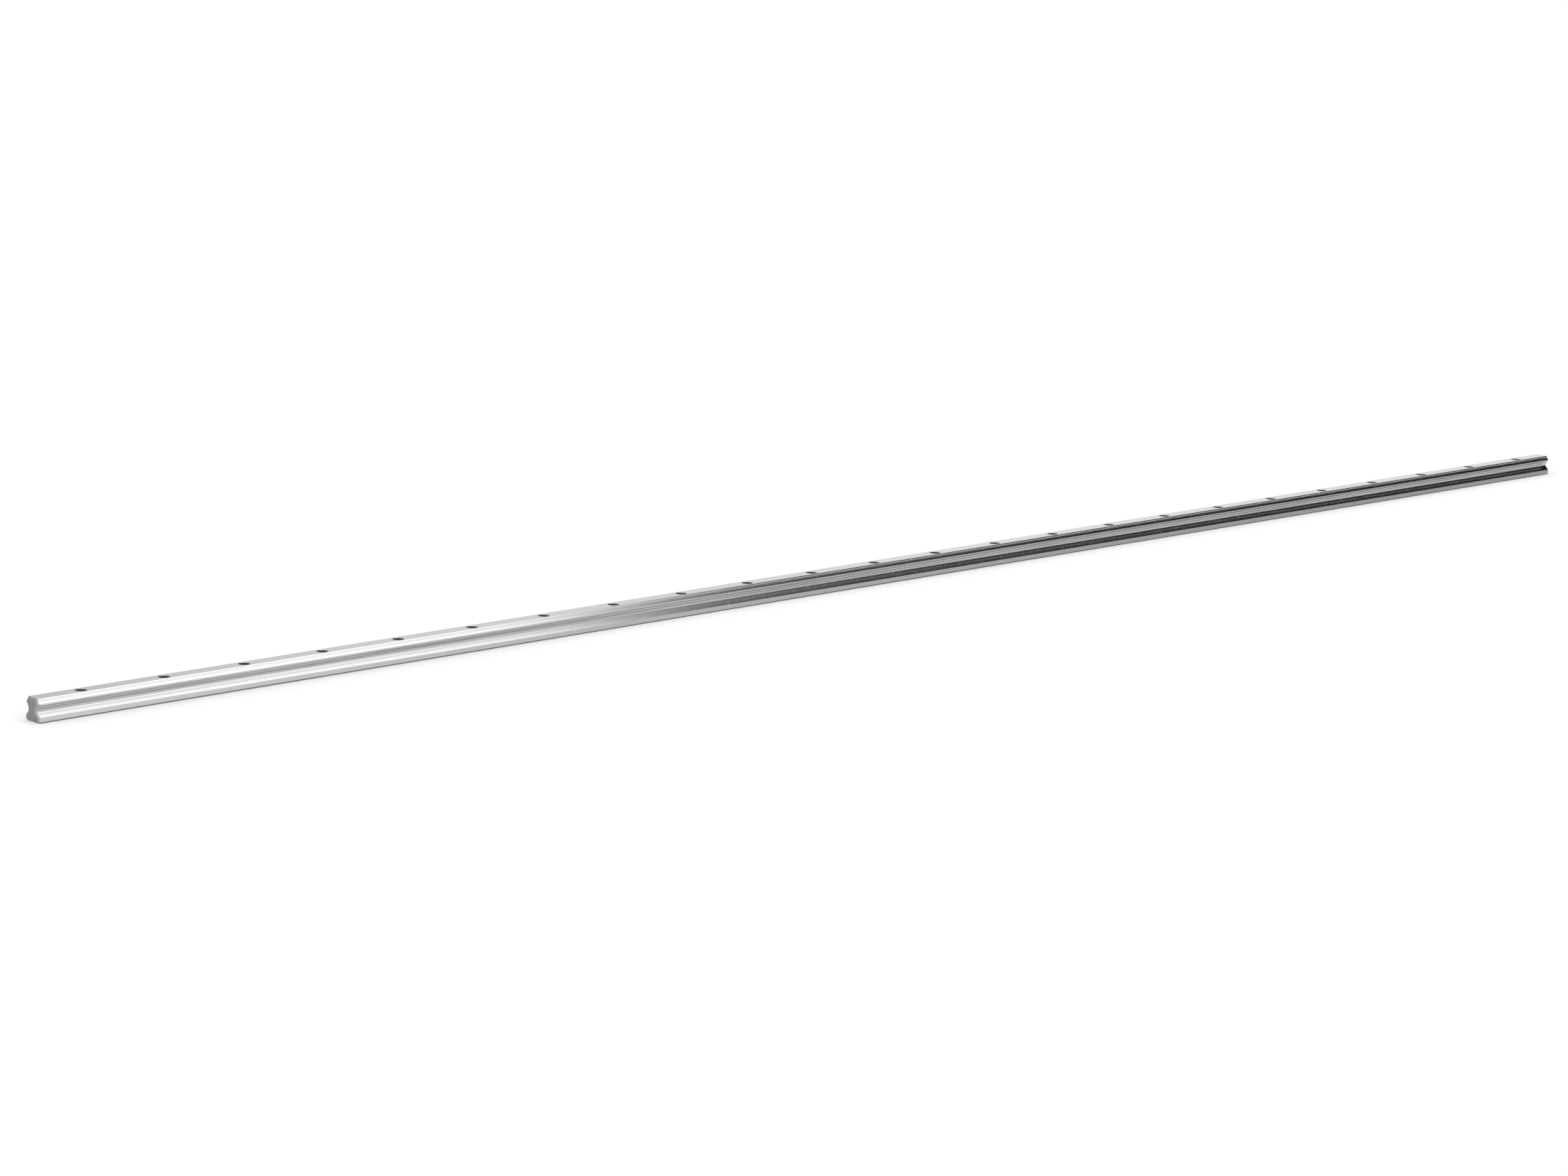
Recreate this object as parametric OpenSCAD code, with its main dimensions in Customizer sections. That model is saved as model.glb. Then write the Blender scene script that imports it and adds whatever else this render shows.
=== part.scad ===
// Profiled linear guide rail: one bar of hardened and ground steel, lying on its base along X.
// Origin at the middle of the base, Z up. The carriage runs on the four ball tracks.

/* [Rail] */
// Number of mounting holes along the rail, which with their pitch sets its length
hole_count = 24; // [1:1:50]
// Distance between neighbouring mounting holes
hole_pitch = 60; // [15:1:120]
// Distance from each end of the rail to the nearest hole's centre
end_distance = 35; // [8:0.5:60]
// Height from the base to the ground land on top
rail_h = 15; // [14:0.5:22]
// Bevel that breaks the outline of the two cut ends
end_bevel = 1; // [0.1:0.1:2]

/* [Section] */
// Width across the sides of the base
base_w = 15; // [14:0.5:20]
// Width across the sides of the head
head_w = 14.2; // [13:0.1:16]
// Width of the flat land on top
land_w = 10.2; // [9:0.1:11.5]
// Width of the neck where it is narrowest, half-way between head and base
neck_w = 9.4; // [8:0.1:12]
// Radius of the hollow on each side of the neck
neck_r = 2.4; // [0.5:0.1:3]
// Height of the upright sides of the base
base_side_h = 3.7; // [2:0.1:4.2]
// Height of the sloping shoulders beside the land
shoulder_h = 2.9; // [2.4:0.1:3.5]
// Height of the upright sides of the head
head_side_h = 0.9; // [0.5:0.1:1.6]
// Bevel along the foot of the base
foot_bevel = 0.8; // [0.2:0.1:1.5]

/* [Ball tracks] */
// Radius of the ground tracks, a little over that of the balls
track_r = 1.65; // [1.5:0.05:1.8]
// Depth of the tracks below the face that they are ground into
track_depth = 0.35; // [0.2:0.05:0.5]
// Width of the relief line along the bottom of each track
relief_w = 0.4; // [0.2:0.05:0.6]

/* [Mounting holes] */
// Diameter of the bolt holes
bolt_hole_d = 4.5; // [3:0.1:5.5]
// Diameter of the counterbores for the bolt heads
counterbore_d = 7.5; // [6:0.1:8.5]
// Depth of the counterbores
counterbore_depth = 5.3; // [3:0.1:8]
// Bevel around the mouth of each counterbore
mouth_bevel = 0.25; // [0.1:0.05:0.5]

/* [Hidden] */
$fn = 48;
eps = 0.01;
// How much deeper the neck's hollow is ground than one that only touches the faces beside it
neck_overcut = 0.005;
rail_length = (hole_count - 1) * hole_pitch + 2 * end_distance;
head_top = rail_h - shoulder_h;
head_bottom = head_top - head_side_h;
// The corners of the right half of the section from the foot to the land, as [across, up]
foot_low = [base_w / 2 - foot_bevel, 0];
foot_high = [base_w / 2, foot_bevel];
base_corner = [base_w / 2, base_side_h];
head_low = [head_w / 2, head_bottom];
head_high = [head_w / 2, head_top];
land_corner = [land_w / 2, rail_h];
// The middle of the neck's hollow, and where the slope of the base and the flank of the head run into it
neck_centre = [neck_w / 2 + neck_r, (base_side_h + head_bottom) / 2];
neck_low = touch_point(base_corner, 1);
neck_high = touch_point(head_low, -1);
corners = [foot_low, foot_high, base_corner, neck_low, neck_high, head_low, head_high, land_corner];

// The unit vector from one point to another, and the one that points out of the bar beside it
function along(from, to) = (to - from) / norm(to - from);
function outward(from, to) = [along(from, to)[1], -along(from, to)[0]];

// The same place on the left half of the section
function mirrored(point) = [-point[0], point[1]];

// Where a face from the given corner runs into the neck's hollow: turn is 1 from below and -1 from above
function touch_point(corner, turn) =
    let (
        reach = neck_centre - corner,
        distance = norm(reach),
        touch_r = neck_r - neck_overcut,
        heading = atan2(reach[1], reach[0]) + turn * asin(touch_r / distance)
    )
    corner + sqrt(distance ^ 2 - touch_r ^ 2) * [cos(heading), sin(heading)];

// The middle of the round that grinds a track into a face
function track_centre(from, to) = (from + to) / 2 + outward(from, to) * (track_r - track_depth);

// The bar's section with plain faces, before its neck is hollowed and its tracks are ground
module bar_outline() {
    left = [for (i = [len(corners) - 1:-1:0]) mirrored(corners[i])];
    polygon(concat(corners, left));
}

// One ball track with its relief line, ground into the middle of a face of the right side
module ball_track(from, to) {
    translate(track_centre(from, to)) circle(r = track_r);
    translate((from + to) / 2 - outward(from, to) * track_depth) circle(d = relief_w);
}

// The whole section of the finished bar
module rail_section() {
    difference() {
        bar_outline();
        for (side = [0, 1]) mirror([side, 0]) {
            translate(neck_centre) circle(r = neck_r);
            ball_track(neck_high, head_low);
            ball_track(head_high, land_corner);
        }
    }
}

// What a bevel takes away behind a straight face, drawn as [into the bar, along the bar]
module bevel_profile() {
    end = rail_length / 2;
    polygon([[-eps, end - end_bevel - eps], [end_bevel + eps, end + eps], [-eps, end + eps]]);
}

// The bevel at the end of one straight face, run on past the corners that stand out
module face_bevel(from, to) {
    before = from == neck_high ? 0 : end_bevel;
    after = to == neck_low ? 0 : end_bevel;
    direction = along(from, to);
    translate(from - direction * before)
        rotate([0, 0, atan2(direction[1], direction[0])])
            rotate([90, 0, 90]) linear_extrude(norm(to - from) + before + after) bevel_profile();
}

// The bevel at the end of a round hollow or track, which overlaps those of the faces beside it
module round_bevel(centre, r) {
    translate(concat(centre, rail_length / 2 - end_bevel))
        cylinder(h = end_bevel + eps, r1 = r, r2 = r + end_bevel + eps);
}

// All that breaks the outline of one end, with the section flat and the bar along Z
module end_bevels() {
    face_bevel(mirrored(foot_low), foot_low);
    face_bevel(land_corner, mirrored(land_corner));
    for (side = [0, 1]) mirror([side, 0, 0]) {
        for (i = [1:len(corners) - 1])
            if (corners[i] != neck_high) face_bevel(corners[i - 1], corners[i]);
        round_bevel(neck_centre, neck_r);
        round_bevel(track_centre(neck_high, head_low), track_r);
        round_bevel(track_centre(head_high, land_corner), track_r);
    }
}

// A counterbored hole for one bolt, open at the land and at the base
module bolt_hole() {
    bore_r = counterbore_d / 2;
    translate([0, 0, -eps]) cylinder(h = rail_h + 2 * eps, d = bolt_hole_d);
    translate([0, 0, rail_h - counterbore_depth]) cylinder(h = counterbore_depth + eps, r = bore_r);
    translate([0, 0, rail_h - mouth_bevel])
        cylinder(h = mouth_bevel + eps, r1 = bore_r, r2 = bore_r + mouth_bevel + eps);
}

module guide_rail() {
    color("silver") difference() {
        rotate([90, 0, 90]) linear_extrude(rail_length, center = true) rail_section();
        for (end = [0, 1]) mirror([end, 0, 0]) rotate([90, 0, 90]) end_bevels();
        for (i = [0:hole_count - 1])
            translate([(i - (hole_count - 1) / 2) * hole_pitch, 0, 0]) bolt_hole();
    }
}

guide_rail();
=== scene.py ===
import math

import bpy
import numpy as np
from mathutils import Matrix, Vector


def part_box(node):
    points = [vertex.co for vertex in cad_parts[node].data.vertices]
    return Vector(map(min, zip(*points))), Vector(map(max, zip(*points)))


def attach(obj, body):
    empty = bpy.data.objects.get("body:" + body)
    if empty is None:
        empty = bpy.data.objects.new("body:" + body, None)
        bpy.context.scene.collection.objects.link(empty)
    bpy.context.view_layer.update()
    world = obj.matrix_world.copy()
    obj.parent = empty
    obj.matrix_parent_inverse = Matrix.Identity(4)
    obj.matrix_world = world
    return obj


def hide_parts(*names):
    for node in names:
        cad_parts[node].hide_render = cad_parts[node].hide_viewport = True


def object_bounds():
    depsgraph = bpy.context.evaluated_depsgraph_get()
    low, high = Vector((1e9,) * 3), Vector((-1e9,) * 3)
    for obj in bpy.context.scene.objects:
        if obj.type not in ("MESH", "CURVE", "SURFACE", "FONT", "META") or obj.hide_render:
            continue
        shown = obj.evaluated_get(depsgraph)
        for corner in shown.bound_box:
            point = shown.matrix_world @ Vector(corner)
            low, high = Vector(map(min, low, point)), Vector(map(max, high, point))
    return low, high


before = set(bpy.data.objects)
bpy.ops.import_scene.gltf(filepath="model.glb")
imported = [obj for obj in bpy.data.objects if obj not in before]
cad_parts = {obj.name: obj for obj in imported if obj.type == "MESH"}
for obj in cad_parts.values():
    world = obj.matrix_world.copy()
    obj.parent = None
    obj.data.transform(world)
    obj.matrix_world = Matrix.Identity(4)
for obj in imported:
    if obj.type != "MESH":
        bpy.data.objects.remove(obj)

cad_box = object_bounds()
rail_low, rail_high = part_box("guide_rail")

# The bar's sizes in millimetres. Its length, width and height come from the CAD node's own box
MM = 0.001
LENGTH, BASE_W, HEIGHT = (round(side / MM, 3) for side in rail_high - rail_low)
HOLE_COUNT, HOLE_PITCH = 24, 60.0
BASE_SIDE_H, FOOT_BEVEL = 3.7, 0.8
HEAD_W, HEAD_SIDE_H = 14.2, 0.9
LAND_W, SHOULDER_H = 10.2, 2.9
NECK_W, NECK_R = 9.4, 2.4
TRACK_R, TRACK_DEPTH = 1.65, 0.35
RELIEF_W, RELIEF_DEPTH = 0.4, 0.2
BORE_R, BORE_DEPTH, BOLT_R = 3.75, 5.3, 2.25
MOUTH_BEVEL, END_BEVEL = 0.25, 1.0

# How far the edges are broken: the long ones, the same ones at the tip of the end bevel, the end bevel's own
# two, those of the holes, and the corner round the seat of each bolt's head
EDGE_R, EDGE_R_AT_END = 0.07, 0.05
END_EDGE_R = 0.08
HOLE_EDGE_R, SEAT_CORNER_R = 0.07, 0.2

# How many points make a corner, a track from its lip to its relief line, the neck and a relief line
CORNER_STEPS, ARC_STEPS, NECK_STEPS, RELIEF_STEPS = 5, 7, 17, 11
TRACKED_STEPS = 2 * CORNER_STEPS + 2 * ARC_STEPS + RELIEF_STEPS
# How many of the neck's points are ground with the slope of the base
NECK_POINTS_OF_SLOPE = 3
# How many strips the end bevel has between its edges, points an edge of a hole, and points a hole all round
BEVEL_STEPS, HOLE_EDGE_STEPS, RING = 6, 4, 72
# Half the side of the square of land or foot that each hole is drawn in
HOLE_SQUARE = 5.0

# The narrowest face between a track's lip and the corner beside it, and how much of that face each may round
LEAST_FACE, MOST_OF_FACE = 0.02, 0.45
# Where a face is narrower, lip and corner share one rounding: the lip runs through the first stretch of it
LIP_STRETCH, CORNER_STRETCH = (0.0, 0.45), (0.55, 1.0)
# How far the track's own points keep from a lip, as a share of its radius, and from the relief line's rim
LIP_TRIM, RELIEF_GAP = 0.5, 0.03
# Only the two rims of the relief line have a sine past this
RIM_SINE = 0.999

# Finishes, in the order of the bar's material slots
LAND, UPRIGHT, TRACK, UNDERSIDE, NECK, FOOT, END_BREAK, CUT, BORED = range(9)


# ---- The section ----

def unit(vector):
    """The vector divided by its own length."""
    return vector / np.linalg.norm(vector, axis=-1, keepdims=True)


def beside(travel):
    """The direction that points out of the steel, a quarter turn clockwise from the way the outline runs."""
    return np.stack([travel[..., 1], -travel[..., 0]], -1)


def broken_corner(corner, into, out, radius, steps=CORNER_STEPS, most=np.inf, stretch=(0.0, 1.0)):
    """Rounds a corner for every station at once. The curve starts `cut` before the corner and ends `cut`
    after it: (1 - u)^2 start + 2 u (1 - u) corner + u^2 end, and it runs along (1 - u) (corner - start) +
    u (end - corner). cut is radius times the tangent of half the turn, and no more than `most`. Returns
    points and directions of travel."""
    turn = np.sum(into * out, -1, keepdims=True)
    cut = np.minimum(radius * np.sqrt((1 - turn) / (1 + turn)), most)
    start, end = (corner - cut * into)[:, None], (corner + cut * out)[:, None]
    corner = corner[:, None]
    u = np.linspace(*stretch, steps)[None, :, None]
    points = (1 - u) ** 2 * start + 2 * u * (1 - u) * corner + u ** 2 * end
    return points, unit((1 - u) * (corner - start) + u * (end - corner))


def mitred(corner, into, out, inset):
    """Where two straight faces meet once both have moved in by inset: the corner less
    inset (n1 + n2) / (1 + n1.n2), with n1 and n2 out of the two faces."""
    first, second = beside(into), beside(out)
    return corner - inset * (first + second) / (1 + first @ second)


def hollow(centre, face_out, radius, angles):
    """Points on a hollow round: centre + radius (t sin a - n cos a), with n out of the face and t along it.
    They are run through along n sin a + t cos a."""
    along = np.stack([-face_out[1], face_out[0]])
    a = angles[..., None]
    points = centre + radius * (along * np.sin(a) - face_out * np.cos(a))
    return points, face_out * np.sin(a) + along * np.cos(a)


def relief_line(centre, out, radius, half_width):
    """The line along the bottom of a track, half an ellipse in the polar frame of the track: at the angle
    half_width sin p it is RELIEF_DEPTH cos p deep, and its two rims lean half-way between the track and the
    line's own steep side. Where the end bevel has cut deeper than that, the track swallows it."""
    p = np.linspace(-math.pi / 2, math.pi / 2, RELIEF_STEPS)
    own = TRACK_R + RELIEF_DEPTH * np.cos(p)[None, :]
    relief_radius = np.maximum(own, radius)
    angles = np.broadcast_to(half_width * np.sin(p), relief_radius.shape)
    points, tangent = hollow(centre, out, relief_radius[..., None], angles)
    sideways = np.where(np.abs(np.sin(p)) > RIM_SINE, RELIEF_DEPTH, TRACK_R * half_width * np.cos(p))
    slanted = unit(sideways[None, :, None] * tangent
                   - (RELIEF_DEPTH * np.sin(p))[None, :, None] * unit(points - centre))
    return points, np.where((own > radius)[..., None], slanted, tangent)


def tracked_face(start, end, next_travel, inset, edge_r):
    """A straight face with a ball track ground into its middle, and the corner at its end. The track is a
    round whose middle stays TRACK_R - TRACK_DEPTH out of the face as first drawn. As the face moves in, the
    track's radius grows by the same inset, so its lip may pass the corner: then the lip lies where the round
    of the track meets the next face, and the lip and the corner share one rounding."""
    travel = unit(end - start)
    out = beside(travel)
    next_out = beside(next_travel)
    centre = (start + end) / 2 + out * (TRACK_R - TRACK_DEPTH)
    radius = TRACK_R + inset
    reach = radius - TRACK_DEPTH
    lip_angle = np.arccos(reach / radius)
    half = radius * np.sin(lip_angle)
    first = centre - reach * out - half * travel
    last = centre - reach * out + half * travel
    corner = mitred(end, travel, next_travel, inset)

    room = ((corner - last) @ travel)[:, None]
    passed = room < LEAST_FACE
    gap = ((centre - corner) @ next_out)[:, None]
    beyond = centre - gap * next_out + np.sqrt(radius ** 2 - gap ** 2) * next_travel
    last = np.where(passed, beyond, last)
    spoke = last - centre
    last_angle = np.arctan2(spoke @ travel, -(spoke @ out))[:, None]
    in_last = out * np.sin(last_angle) + travel * np.cos(last_angle)
    out_first = travel * np.cos(lip_angle) - out * np.sin(lip_angle)

    # The track itself, from the first lip down to the relief line and from there up to the last lip
    steps = np.linspace(0, 1, ARC_STEPS)
    trim = LIP_TRIM * edge_r / radius
    half_width = RELIEF_W / 2 / TRACK_R
    near = half_width + RELIEF_GAP / TRACK_R
    below = (-lip_angle + trim) * (1 - steps) - near * steps
    above = near * (1 - steps) + (last_angle - np.where(passed, 2, 1) * trim) * steps

    # The last lip and the corner, each with its own rounding and with a shared one
    most = MOST_OF_FACE * np.maximum(room, LEAST_FACE)
    own_lip = broken_corner(last, in_last, travel, edge_r, most=most)
    own_corner = broken_corner(corner, travel, next_travel, edge_r, most=most)
    shared_lip, shared_corner = (broken_corner(last, in_last, next_travel, edge_r, stretch=stretch)
                                 for stretch in (LIP_STRETCH, CORNER_STRETCH))
    passed = passed[..., None]
    runs = [
        broken_corner(first, travel, out_first, edge_r),
        hollow(centre, out, radius[..., None], below),
        relief_line(centre, out, radius, half_width),
        hollow(centre, out, radius[..., None], above),
        tuple(np.where(passed, shared, own) for shared, own in zip(shared_lip, own_lip)),
        tuple(np.where(passed, shared, own) for shared, own in zip(shared_corner, own_corner)),
    ]
    return tuple(np.concatenate(parts, 1) for parts in zip(*runs))


def half_section(inset):
    """The right half of the section from the foot up to the land, as [across, up], at every station, with its
    normals and the finish of each point. Straight faces move in by inset, hollow rounds grow by it, and each
    corner that stands out is rounded again."""
    inset = inset[:, None]
    edge_r = EDGE_R + (EDGE_R_AT_END - EDGE_R) * np.clip(inset / END_BEVEL, 0, 1)
    foot_low = np.array([BASE_W / 2 - FOOT_BEVEL, 0])
    foot_high = np.array([BASE_W / 2, FOOT_BEVEL])
    base_corner = np.array([BASE_W / 2, BASE_SIDE_H])
    head_high = np.array([HEAD_W / 2, HEIGHT - SHOULDER_H])
    head_low = head_high - [0, HEAD_SIDE_H]
    land_corner = np.array([LAND_W / 2, HEIGHT])
    neck_centre = np.array([NECK_W / 2 + NECK_R, (base_corner[1] + head_low[1]) / 2])

    def touch(corner, turn):
        """Where a line from a corner touches the neck's round, at a right angle to the spoke: its length is
        the root of distance^2 - NECK_R^2, and it leans off the spoke by the arc sine of NECK_R / distance."""
        spoke = neck_centre - corner
        distance = np.linalg.norm(spoke)
        heading = math.atan2(spoke[1], spoke[0]) + turn * math.asin(NECK_R / distance)
        way = np.array([math.cos(heading), math.sin(heading)])
        return corner + math.sqrt(distance ** 2 - NECK_R ** 2) * way

    neck_low, neck_high = touch(base_corner, 1), touch(head_low, -1)
    rightwards, upwards, leftwards = np.array([1.0, 0]), np.array([0, 1.0]), np.array([-1.0, 0])
    foot, slope = unit(foot_high - foot_low), unit(neck_low - base_corner)
    flank, shoulder = unit(head_low - neck_high), unit(land_corner - head_high)

    def corner(place, into, out):
        """One corner that stands out, where the bevel has moved it to."""
        return broken_corner(mitred(place, into, out, inset), into, out, edge_r)

    # The neck's round is run through in the frame of the base slope, where it starts at no turn
    sweep = math.acos(float(beside(slope) @ beside(flank)))
    angles = np.broadcast_to(np.linspace(0, sweep, NECK_STEPS), (len(inset), NECK_STEPS))
    neck = hollow(neck_centre, beside(slope), (NECK_R + inset)[..., None], angles)

    # Each stretch with the finishes of its points. A strip between two points takes the one of the later slot
    stretches = (
        (corner(foot_low, rightwards, foot), [LAND] * CORNER_STEPS),
        (corner(foot_high, foot, upwards), [FOOT] + [UPRIGHT] * (CORNER_STEPS - 1)),
        (corner(base_corner, upwards, slope), [UPRIGHT] * (CORNER_STEPS - 1) + [NECK]),
        (neck, [NECK] * NECK_POINTS_OF_SLOPE + [UNDERSIDE] * (NECK_STEPS - NECK_POINTS_OF_SLOPE)),
        (tracked_face(neck_high, head_low, upwards, inset, edge_r),
         [UNDERSIDE] * TRACKED_STEPS + [UPRIGHT] * CORNER_STEPS),
        (corner(head_high, upwards, shoulder), [UPRIGHT] * CORNER_STEPS),
        (tracked_face(head_high, land_corner, leftwards, inset, edge_r),
         [TRACK] * TRACKED_STEPS + [LAND] * CORNER_STEPS),
    )
    points, travel = (np.concatenate(parts, 1) for parts in zip(*(run for run, finishes in stretches)))
    return points, beside(travel), np.concatenate([finishes for run, finishes in stretches])


# ---- The bar ----

def hole_places():
    """How far along the bar each hole lies: its number less that of the middle, times the pitch."""
    return (np.arange(HOLE_COUNT) - (HOLE_COUNT - 1) / 2) * HOLE_PITCH


def stations():
    """Where the section is drawn along the bar, as [along, inset] with the normal's share along the bar and
    its share across it. The two ends follow the bevel, a line at 45 degrees with both its edges rounded, and
    between them lie the sides of the square that each hole is drawn in. Returns the stations and how many of
    them each end has."""
    end = LENGTH / 2
    level, down, slanted = np.array([[1.0, 0]]), np.array([[0, -1.0]]), unit(np.array([[1.0, -1]]))
    first = broken_corner(np.array([[end - END_BEVEL, 0]]), level, slanted, END_EDGE_R)
    last = broken_corner(np.array([[end, -END_BEVEL]]), slanted, down, END_EDGE_R)
    share = np.linspace(0, 1, BEVEL_STEPS + 2)[1:-1, None]
    middle = (1 - share) * first[0][0, -1] + share * last[0][0, 0]
    points = np.concatenate([first[0][0], middle, last[0][0]])
    travel = np.concatenate([first[1][0], np.repeat(slanted, BEVEL_STEPS, 0), last[1][0]])
    right = np.stack([points[:, 0], -points[:, 1], -travel[:, 1], travel[:, 0]], 1)
    left = right[::-1] * [-1, 1, -1, 1]
    squares = (hole_places()[:, None] + [-HOLE_SQUARE, HOLE_SQUARE]).ravel()
    between = np.stack([squares, 0 * squares, 0 * squares, 0 * squares + 1], 1)
    return np.concatenate([left, between, right]), len(left)


def outside(rows, bevel_rows):
    """The outside of the bar with its two cut ends. The loop of the section, right half then left half
    mirrored, is carried along the stations. Where the normal's shares are a along the bar and b across it,
    the surface's normal is a along the bar plus the section's normal times b. The ends join each point of the
    right half to its mirror image, and the land and the foot stay open where a hole is drawn. Returns points
    and normals by station, then the faces and their finishes."""
    half, half_normals, finishes = half_section(rows[:, 1])
    loop, loop_normals = (np.concatenate([part, part[:, ::-1] * [-1, 1]], 1) for part in (half, half_normals))
    along, around = loop.shape[:2]
    one_each = (along, around, 1)
    points = np.concatenate([np.broadcast_to(rows[:, None, :1], one_each), loop], 2)
    normals = np.concatenate([np.broadcast_to(rows[:, None, 2:3], one_each),
                              loop_normals * rows[:, None, 3:4]], 2)

    s, k = np.meshgrid(np.arange(along - 1), np.arange(around), indexing="ij")
    after = (k + 1) % around
    sides = np.stack([s * around + k, s * around + after, (s + 1) * around + after, (s + 1) * around + k], -1)
    at_hole = (s >= bevel_rows) & (s < along - bevel_rows) & ((s - bevel_rows) % 2 == 0)
    level = (k == around // 2 - 1) | (k == around - 1)
    kept = ~(at_hole & level)
    loop_finish = np.concatenate([finishes, finishes[::-1]])
    strip_finish = np.maximum(loop_finish, np.roll(loop_finish, -1))
    bevelled = (s < bevel_rows - 1) | (s > along - bevel_rows - 1)
    side_finish = np.where(bevelled, END_BREAK, strip_finish[k])

    k = np.arange(around // 2 - 1)
    right_end = (along - 1) * around + np.stack([k, k + 1, around - 2 - k, around - 1 - k], 1)
    left_end = np.stack([around - 1 - k, around - 2 - k, k + 1, k], 1)
    faces = np.concatenate([sides[kept], right_end, left_end])
    return points, normals, faces, np.concatenate([side_finish[kept], np.full(2 * len(k), CUT)])


def hole_profile():
    """One counterbored hole from the land down to the foot, as [radius, height] with its normals. Straight
    lines join its corners and each corner is rounded: the mouth's bevel, the counterbore's wall, its seat for
    the bolt's head, and the bolt's bore. It comes in across the land and leaves across the foot."""
    seat = HEIGHT - BORE_DEPTH
    corners = np.array([[BORE_R + MOUTH_BEVEL, HEIGHT], [BORE_R, HEIGHT - MOUTH_BEVEL], [BORE_R, seat],
                        [BOLT_R, seat], [BOLT_R, 0]])
    outwards = np.array([[1, 0]])
    ways = unit(np.diff(np.concatenate([corners[:1] + outwards, corners, corners[-1:] + outwards]), axis=0))
    radii = [HOLE_EDGE_R, HOLE_EDGE_R, SEAT_CORNER_R, HOLE_EDGE_R, HOLE_EDGE_R]
    bends = [broken_corner(corners[i:i + 1], ways[i:i + 1], ways[i + 1:i + 2], radii[i], HOLE_EDGE_STEPS)
             for i in range(len(corners))]
    points, travel = (np.concatenate([run[0] for run in runs]) for runs in zip(*bends))
    return points, beside(travel)


def turned_round_holes(profile):
    """A profile of [out, up] pairs turned round the axis of every hole: (out cos t, out sin t, up)."""
    t = (np.arange(RING) + 0.5) * 2 * math.pi / RING
    out, up = profile[None, :, :1], profile[None, :, 1:]
    shape = (HOLE_COUNT, len(profile), RING)
    return np.stack([np.broadcast_to(part, shape) for part in (out * np.cos(t), out * np.sin(t), up)], -1)


def holes(along, around, bevel_rows):
    """All the holes, each its profile turned round its own axis, and the flat land and foot around them. Each
    point of a ring joins the corner of its own quarter of the square: fans of three corners lie within a
    quarter, and a bridge of four between two quarters. Returns points and normals, the walls and bridges with
    their finishes, and the fans."""
    profile, profile_normals = hole_profile()
    points, normals = turned_round_holes(profile), turned_round_holes(profile_normals)
    points[..., 0] += hole_places()[:, None, None]
    levels = len(profile)
    base = along * around
    i, level, j = np.meshgrid(np.arange(HOLE_COUNT), np.arange(levels - 1), np.arange(RING), indexing="ij")
    ring_at = base + (i * levels + level) * RING
    after = (j + 1) % RING
    walls = np.stack([ring_at + j, ring_at + after, ring_at + RING + after, ring_at + RING + j], -1)
    four_sided, finishes, three_sided = [walls.reshape(-1, 4)], [np.full(walls.size // 4, BORED)], []

    i, j = np.meshgrid(np.arange(HOLE_COUNT), np.arange(RING), indexing="ij")
    after = (j + 1) % RING
    quarter, next_quarter = j // (RING // 4), after // (RING // 4)
    before_row, after_row = bevel_rows + 2 * i, bevel_rows + 2 * i + 1
    row = np.stack([after_row, before_row, before_row, after_row], -1)
    half = around // 2
    for level, at_right, at_left, upward in ((0, half - 1, half, True), (levels - 1, 0, around - 1, False)):
        corner = row * around + np.array([at_right, at_right, at_left, at_left])
        ring_at = base + (i * levels + level) * RING
        here = np.take_along_axis(corner, quarter[..., None], -1)[..., 0]
        there = np.take_along_axis(corner, next_quarter[..., None], -1)[..., 0]
        fan = np.stack([ring_at + j, here, ring_at + after], -1)
        bridge = np.stack([ring_at + j, here, there, ring_at + after], -1)
        fan, bridge = (fan, bridge) if upward else (fan[..., ::-1], bridge[..., ::-1])
        three_sided.append(fan[quarter == next_quarter])
        four_sided.append(bridge[quarter != next_quarter])
        finishes.append(np.full(len(four_sided[-1]), LAND))
    return points, normals, np.concatenate(four_sided), np.concatenate(finishes), np.concatenate(three_sided)


def finished_bar():
    """The whole bar as one closed surface, its outside and its holes: every place in millimetres from the
    middle of the base, plus where that is in the frame, turned to metres."""
    rows, bevel_rows = stations()
    skin, skin_normals, faces, finishes = outside(rows, bevel_rows)
    bores, bore_normals, hole_faces, hole_finishes, fans = holes(*skin.shape[:2], bevel_rows)
    points = np.concatenate([skin.reshape(-1, 3), bores.reshape(-1, 3)])
    normals = np.concatenate([skin_normals.reshape(-1, 3), bore_normals.reshape(-1, 3)])
    middle = np.array((rail_low + rail_high) / 2) / MM * [1, 1, 0] + [0, 0, rail_low.z / MM]
    mesh = bpy.data.meshes.new("rail")
    mesh.from_pydata((points + middle) * MM, [], faces.tolist() + hole_faces.tolist() + fans.tolist())
    slots = np.concatenate([finishes, hole_finishes, np.full(len(fans), LAND)]).astype(np.int32)
    mesh.polygons.foreach_set("material_index", slots)
    mesh.polygons.foreach_set("use_smooth", np.ones(len(slots), bool))
    mesh.update()
    mesh.normals_split_custom_set_from_vertices(unit(normals))
    bar = bpy.data.objects.new("rail", mesh)
    bpy.context.scene.collection.objects.link(bar)
    return bar


# ---- Materials ----

# Noise lies mostly between these levels. The colours take up the first span and the roughness the second
COLOUR_SPAN, ROUGHNESS_SPAN = (0.35, 0.65), (0.3, 0.7)
# How much each finer layer of noise counts, and how many layers the marks, the bands and the stray marks have
LAYER_SHARE = 0.6
MARK_LAYERS, BAND_LAYERS, STRAY_LAYERS = 4.0, 3.0, 1.0
# How many marks wide a band is, and how much of the pattern the bands are
BAND_MARKS, BAND_SHARE = 5, 0.4
# How far past its threshold a stray mark has its own look in full
STRAY_EDGE = 0.03
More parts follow.
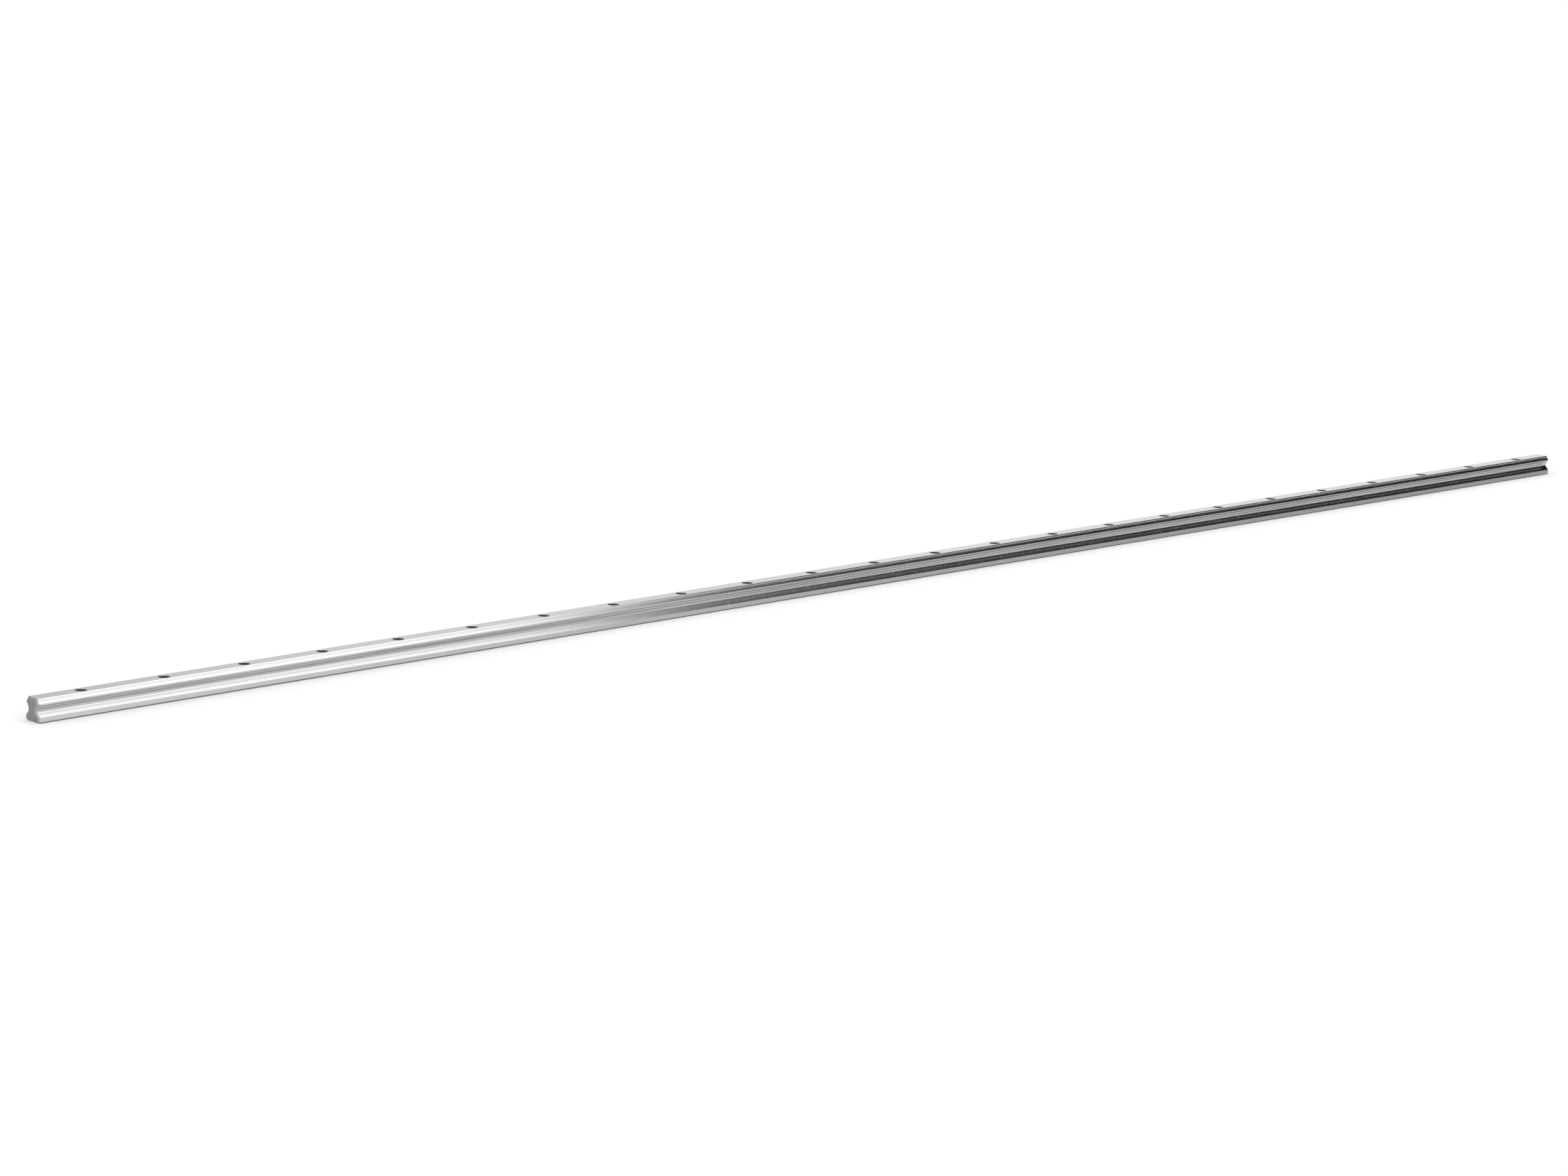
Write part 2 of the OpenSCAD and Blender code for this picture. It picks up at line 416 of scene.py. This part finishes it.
# The sockets of a Mix node: its factor and two sources, for plain values and for colours
VALUE_SOCKETS, COLOUR_SOCKETS = (0, 2, 3), (0, 6, 7)


def linear(hex_colour):
    """An sRGB hex colour as linear RGBA."""
    channels = [int(hex_colour[i:i + 2], 16) / 255 for i in (1, 3, 5)]
    return [c / 12.92 if c <= 0.04045 else ((c + 0.055) / 1.055) ** 2.4 for c in channels] + [1.0]


def add_node(tree, kind, settings=None, inputs=None, stops=None):
    """Adds one node to a tree, with its settings, its inputs as plain values or as links, by name or by
    number, and a ramp's stops."""
    node = tree.nodes.new(kind)
    for name, value in (settings or {}).items():
        setattr(node, name, value)
    for name, value in (inputs or {}).items():
        socket = node.inputs[name]
        if isinstance(value, bpy.types.NodeSocket):
            tree.links.new(value, socket)
        else:
            socket.default_value = value
    for place, (position, colour) in enumerate(stops or ()):
        ramp = node.color_ramp.elements
        stop = ramp[place] if place < 2 else ramp.new(position)
        stop.position, stop.color = position, colour
    return node


def new_material(name):
    """An empty material and its node tree."""
    material = bpy.data.materials.new(name)
    material.use_nodes = True
    material.node_tree.nodes.clear()
    return material, material.node_tree


def steel(name, colours, roughness, grain, lift, anisotropy, strays=None, turned=False):
    """Bare steel with the marks of its last cut. grain is the size of one mark along, across and up the bar
    in millimetres, lift its depth in millimetres, roughness a pair of limits, and colours a dark and a light
    one. strays are single marks that stand out from the rest, the rarer the nearer their threshold is to 1.
    The cut runs along the bar, or round the axis of each hole where the surface is turned."""
    material, tree = new_material(name)
    place = add_node(tree, "ShaderNodeTexCoord").outputs["Object"]

    def marks(size, layers):
        """A pattern of marks of one size: noise over places that are divided by that size."""
        scaled = add_node(tree, "ShaderNodeMapping", inputs={
            "Vector": place, "Scale": [1 / (length * MM) for length in size]}).outputs["Vector"]
        return add_node(tree, "ShaderNodeTexNoise", inputs={
            "Vector": scaled, "Scale": 1.0, "Detail": layers, "Roughness": LAYER_SHARE}).outputs["Fac"]

    fine = marks(grain, MARK_LAYERS)
    # Broad bands, where the wheel was dressed or the stock ran a little hotter
    bands = marks([BAND_MARKS * length for length in grain], BAND_LAYERS)
    worn = add_node(tree, "ShaderNodeMix", {"data_type": "FLOAT"},
                    dict(zip(VALUE_SOCKETS, (BAND_SHARE, fine, bands)))).outputs[0]
    colour = add_node(tree, "ShaderNodeValToRGB", inputs={"Fac": worn}, stops=[
        (position, linear(tone)) for position, tone in zip(COLOUR_SPAN, colours)]).outputs["Color"]
    rough = add_node(tree, "ShaderNodeMapRange", inputs={
        "Value": worn, "From Min": ROUGHNESS_SPAN[0], "From Max": ROUGHNESS_SPAN[1],
        "To Min": roughness[0], "To Max": roughness[1]}).outputs["Result"]
    metallic = 1.0
    if strays:
        stray = add_node(tree, "ShaderNodeMapRange", inputs={
            "Value": marks(strays["size"], STRAY_LAYERS), "From Min": strays["threshold"],
            "From Max": strays["threshold"] + STRAY_EDGE}).outputs["Result"]
        colour = add_node(tree, "ShaderNodeMix", {"data_type": "RGBA"},
                          dict(zip(COLOUR_SOCKETS, (stray, colour, linear(strays["colour"]))))).outputs[2]
        rough = add_node(tree, "ShaderNodeMix", {"data_type": "FLOAT"},
                         dict(zip(VALUE_SOCKETS, (stray, rough, strays["roughness"])))).outputs[0]
        if strays["metallic"] < 1:
            metallic = add_node(tree, "ShaderNodeMix", {"data_type": "FLOAT"},
                                dict(zip(VALUE_SOCKETS, (stray, 1.0, strays["metallic"])))).outputs[0]
    bump = add_node(tree, "ShaderNodeBump", inputs={"Height": fine, "Distance": lift * MM, "Strength": 1.0})
    if turned:
        # At [x, y] from a hole's axis the cut runs along [-y, x]. The holes lie an odd number of half pitches
        # from the middle of the bar, so that x is what is left of the bar's own x after whole pitches, less
        # half a pitch
        at = add_node(tree, "ShaderNodeSeparateXYZ", inputs={"Vector": place}).outputs
        left_over = add_node(tree, "ShaderNodeMath", {"operation": "FLOORED_MODULO"},
                             {0: at["X"], 1: HOLE_PITCH * MM}).outputs[0]
        from_axis = add_node(tree, "ShaderNodeMath", {"operation": "SUBTRACT"},
                             {0: left_over, 1: HOLE_PITCH / 2 * MM}).outputs[0]
        flipped = add_node(tree, "ShaderNodeMath", {"operation": "MULTIPLY"},
                           {0: at["Y"], 1: -1.0}).outputs[0]
        cut = add_node(tree, "ShaderNodeCombineXYZ", inputs={"X": flipped, "Y": from_axis})
    else:
        cut = add_node(tree, "ShaderNodeTangent", {"direction_type": "RADIAL", "axis": "X"})
    shader = add_node(tree, "ShaderNodeBsdfPrincipled", inputs={
        "Base Color": colour, "Metallic": metallic, "Roughness": rough,
        "Normal": bump.outputs["Normal"], "Anisotropic": anisotropy, "Tangent": cut.outputs[0]})
    add_node(tree, "ShaderNodeOutputMaterial", inputs={"Surface": shader.outputs["BSDF"]})
    return material


# Dust that has settled on the faces that look up: pale, dull specks that show where the steel mirrors the
# dark. Real specks are too fine to show, so these are drawn a few tenths of a millimetre across
DUST = {"size": (1.0, 0.6, 0.6), "colour": "#D2D1CE", "roughness": 0.8, "metallic": 0.0, "threshold": 0.73}
# Single lines that a coarse grain of the wheel has cut along the bar, a little darker than the rest. A real
# one is too fine to show, so these are drawn up to a third of a millimetre wide
DARK_LINES = {"size": (160, 0.35, 0.35), "colour": "#8E8D8B", "roughness": 0.2, "metallic": 1.0,
              "threshold": 0.62}

bar = finished_bar()
# Real grinding lines along the bar are some hundredths of a millimetre wide. They are drawn 0.2 to 0.3 mm
# wide here, because finer ones wouldn't show
for material in (
        # The land, hardened steel that was ground flat last: pale grey, with a mirror image that is soft
        # along the bar and smeared across it
        steel("surface_ground_steel", colours=("#C8C7C6", "#D5D4D3"), roughness=(0.20, 0.27),
              grain=(60, 0.25, 0.25), lift=0.0003, anisotropy=0.95),
        # The sides of the base and the head, ground with a coarser wheel: duller, with hardly a mirror image
        steel("side_ground_steel", colours=("#C9C8C7", "#D5D4D3"), roughness=(0.38, 0.46),
              grain=(60, 0.25, 0.25), lift=0.0004, anisotropy=0.97),
        # The shoulders and their ball tracks, hardened and form-ground: the brightest faces, almost a mirror
        # along the bar, with a little dust
        steel("form_ground_track", colours=("#CCCBCA", "#D9D8D7"), roughness=(0.14, 0.19),
              grain=(60, 0.2, 0.2), lift=0.0002, anisotropy=0.95, strays=DUST),
        # The flanks with their ball tracks and the hollow of the neck, form-ground: as smooth, with single
        # dark lines. Their greyer colour is painted shade for faces that look down, a darker copy of the
        # shoulders' finish
        steel("form_ground_underside_painted_shade", colours=("#B3B2B1", "#C1C0BF"), roughness=(0.15, 0.20),
              grain=(60, 0.2, 0.2), lift=0.0002, anisotropy=0.95, strays=DARK_LINES),
        # The slope of the base and the foot of the hollow, profile-ground: bright, with a little dust
        steel("profile_ground_neck", colours=("#C7C6C5", "#D3D2D1"), roughness=(0.14, 0.19),
              grain=(60, 0.3, 0.3), lift=0.0002, anisotropy=0.95, strays=DUST),
        # The bevel along the foot, left as it was rolled: a thin skin of scale that is dull. Its dark colour
        # is partly that scale and partly painted shadow where the bar meets the floor
        steel("rolled_foot_bevel_and_painted_shadow", colours=("#7C7A77", "#908E8A"), roughness=(0.34, 0.44),
              grain=(60, 0.3, 0.3), lift=0.0004, anisotropy=0.9),
        # The end bevels, ground by hand in no one direction: a pale edge that glitters in patches. The
        # patches are drawn 0.35 mm wide, coarser than the grit that makes them, so that they show
        steel("ground_end_bevel", colours=("#939496", "#B4B5B6"), roughness=(0.24, 0.40),
              grain=(0.35, 0.35, 0.6), lift=0.004, anisotropy=0.0),
        # The cut ends, sawn off with an abrasive wheel: dull grey with upright scratches and brownish heat
        # tints. The scratches are drawn 0.25 mm wide, coarser than real ones, so that they show
        steel("abrasive_cut_end", colours=("#6E6F70", "#9A9894"), roughness=(0.30, 0.46),
              grain=(0.4, 0.25, 4), lift=0.004, anisotropy=0.0),
        # The holes, drilled and counterbored before hardening: rings of fine tool marks, which leave them
        # dark with soft grey streaks. The rings are drawn 0.3 mm apart, coarser than the feed, so that they
        # show
        steel("counterbored_steel", colours=("#C6C5C4", "#DAD9D8"), roughness=(0.28, 0.40),
              grain=(4, 4, 0.3), lift=0.003, anisotropy=0.9, turned=True)):
    bar.data.materials.append(material)
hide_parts("guide_rail")
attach(bar, "root")

# ---- Studio ----

# The floor's side in metres, and how strong the room's light is
FLOOR_SIZE, LIGHT = 40, 1.68

bpy.ops.mesh.primitive_plane_add(size=FLOOR_SIZE)
floor = bpy.context.object
floor.name = "floor"
# A table top in matt white paint: bright and without any shine, so that it shows only the bar's soft shadow
material, tree = new_material("matt_white_table")
shader = add_node(tree, "ShaderNodeBsdfDiffuse", inputs={"Color": linear("#FAFAFA")})
add_node(tree, "ShaderNodeOutputMaterial", inputs={"Surface": shader.outputs["BSDF"]})
floor.data.materials.append(material)

# The room is white. One soft light hangs over the front, and where it ends the room beyond it is dark
world = bpy.data.worlds.new("studio")
bpy.context.scene.world = world
world.use_nodes = True
tree = world.node_tree
tree.nodes.clear()
way = add_node(tree, "ShaderNodeSeparateXYZ", inputs={
    "Vector": add_node(tree, "ShaderNodeTexCoord").outputs["Generated"]}).outputs
angle = add_node(tree, "ShaderNodeMath", {"operation": "ARCTAN2"}, {0: way["Z"], 1: way["Y"]}).outputs[0]
# How far round the bar a direction lies: 0 level at the back, 0.5 straight up, 1 level at the front
turn = add_node(tree, "ShaderNodeMapRange", inputs={
    "Value": angle, "From Min": 0.0, "From Max": math.pi}).outputs["Result"]
over_starts, low_starts, over_front, low_front, back = (
    add_node(tree, "ShaderNodeValToRGB", inputs={"Fac": source}, stops=[
        (position, [level, level, level, 1.0]) for position, level in levels]).outputs["Color"]
    for source, levels in (
        # Where the light over the front begins above the back wall, and where the low front begins below it,
        # going round the bar
        (turn, ((0.20, 0.0), (0.31, 1.0))),
        (turn, ((0.91, 0.0), (0.945, 1.0))),
        # How bright the light, the low front and the back wall are, the further right a direction points
        (way["X"], ((0.20, 0.72), (0.36, 1.0), (0.604, 1.0), (0.618, 0.46), (0.632, 0.08), (0.65, 0.035),
                    (0.70, 0.015), (0.80, 0.003))),
        (way["X"], ((0.50, 0.66), (0.56, 0.88), (0.595, 0.68), (0.635, 0.26), (0.66, 0.18), (0.72, 0.09),
                    (0.78, 0.02))),
        (way["X"], ((0.50, 0.40), (0.60, 0.55), (0.68, 0.76)))))
upper = add_node(tree, "ShaderNodeMix", {"data_type": "RGBA"},
                 dict(zip(COLOUR_SOCKETS, (over_starts, back, over_front))))
room = add_node(tree, "ShaderNodeMix", {"data_type": "RGBA"},
                dict(zip(COLOUR_SOCKETS, (low_starts, upper.outputs[2], low_front))))
background = add_node(tree, "ShaderNodeBackground", inputs={"Color": room.outputs[2], "Strength": LIGHT})
add_node(tree, "ShaderNodeOutputWorld", inputs={"Surface": background.outputs[0]})

# ---- Camera ----

# It stands left of straight in front, looks down a little and leans a little
AZIMUTH, ELEVATION, ROLL = (math.radians(degrees) for degrees in (-41.70, 12.07, 1.29))
# In metres, how far it stands from what it looks at, and the furthest that it sees
DISTANCE, FURTHEST = 2.9527, 100
# In millimetres, its lens and its sensor's width, and what it looks at: so far along the bar from its middle
# and up from its base
LENS, SENSOR_W = 96.64, 36
AIM_ALONG, AIM_UP = -115.6, 6.95

low_corner, high_corner = cad_box
middle = (Vector(low_corner) + Vector(high_corner)) / 2
aim = Vector((middle.x + AIM_ALONG * MM, middle.y, low_corner[2] + AIM_UP * MM))
forward = Vector((-math.sin(AZIMUTH) * math.cos(ELEVATION), math.cos(AZIMUTH) * math.cos(ELEVATION),
                  -math.sin(ELEVATION)))
level_right = forward.cross(Vector((0, 0, 1))).normalized()
level_up = level_right.cross(forward)
right = math.cos(ROLL) * level_right + math.sin(ROLL) * level_up
up = -math.sin(ROLL) * level_right + math.cos(ROLL) * level_up
camera_data = bpy.data.cameras.new("camera")
camera_data.lens = LENS
camera_data.sensor_width = SENSOR_W
camera_data.clip_end = FURTHEST
camera = bpy.data.objects.new("camera", camera_data)
bpy.context.scene.collection.objects.link(camera)
camera.matrix_world = (Matrix.Translation(aim - DISTANCE * forward)
                       @ Matrix((right, up, -forward)).transposed().to_4x4())
bpy.context.scene.camera = camera
bpy.context.scene.view_settings.view_transform = "Standard"
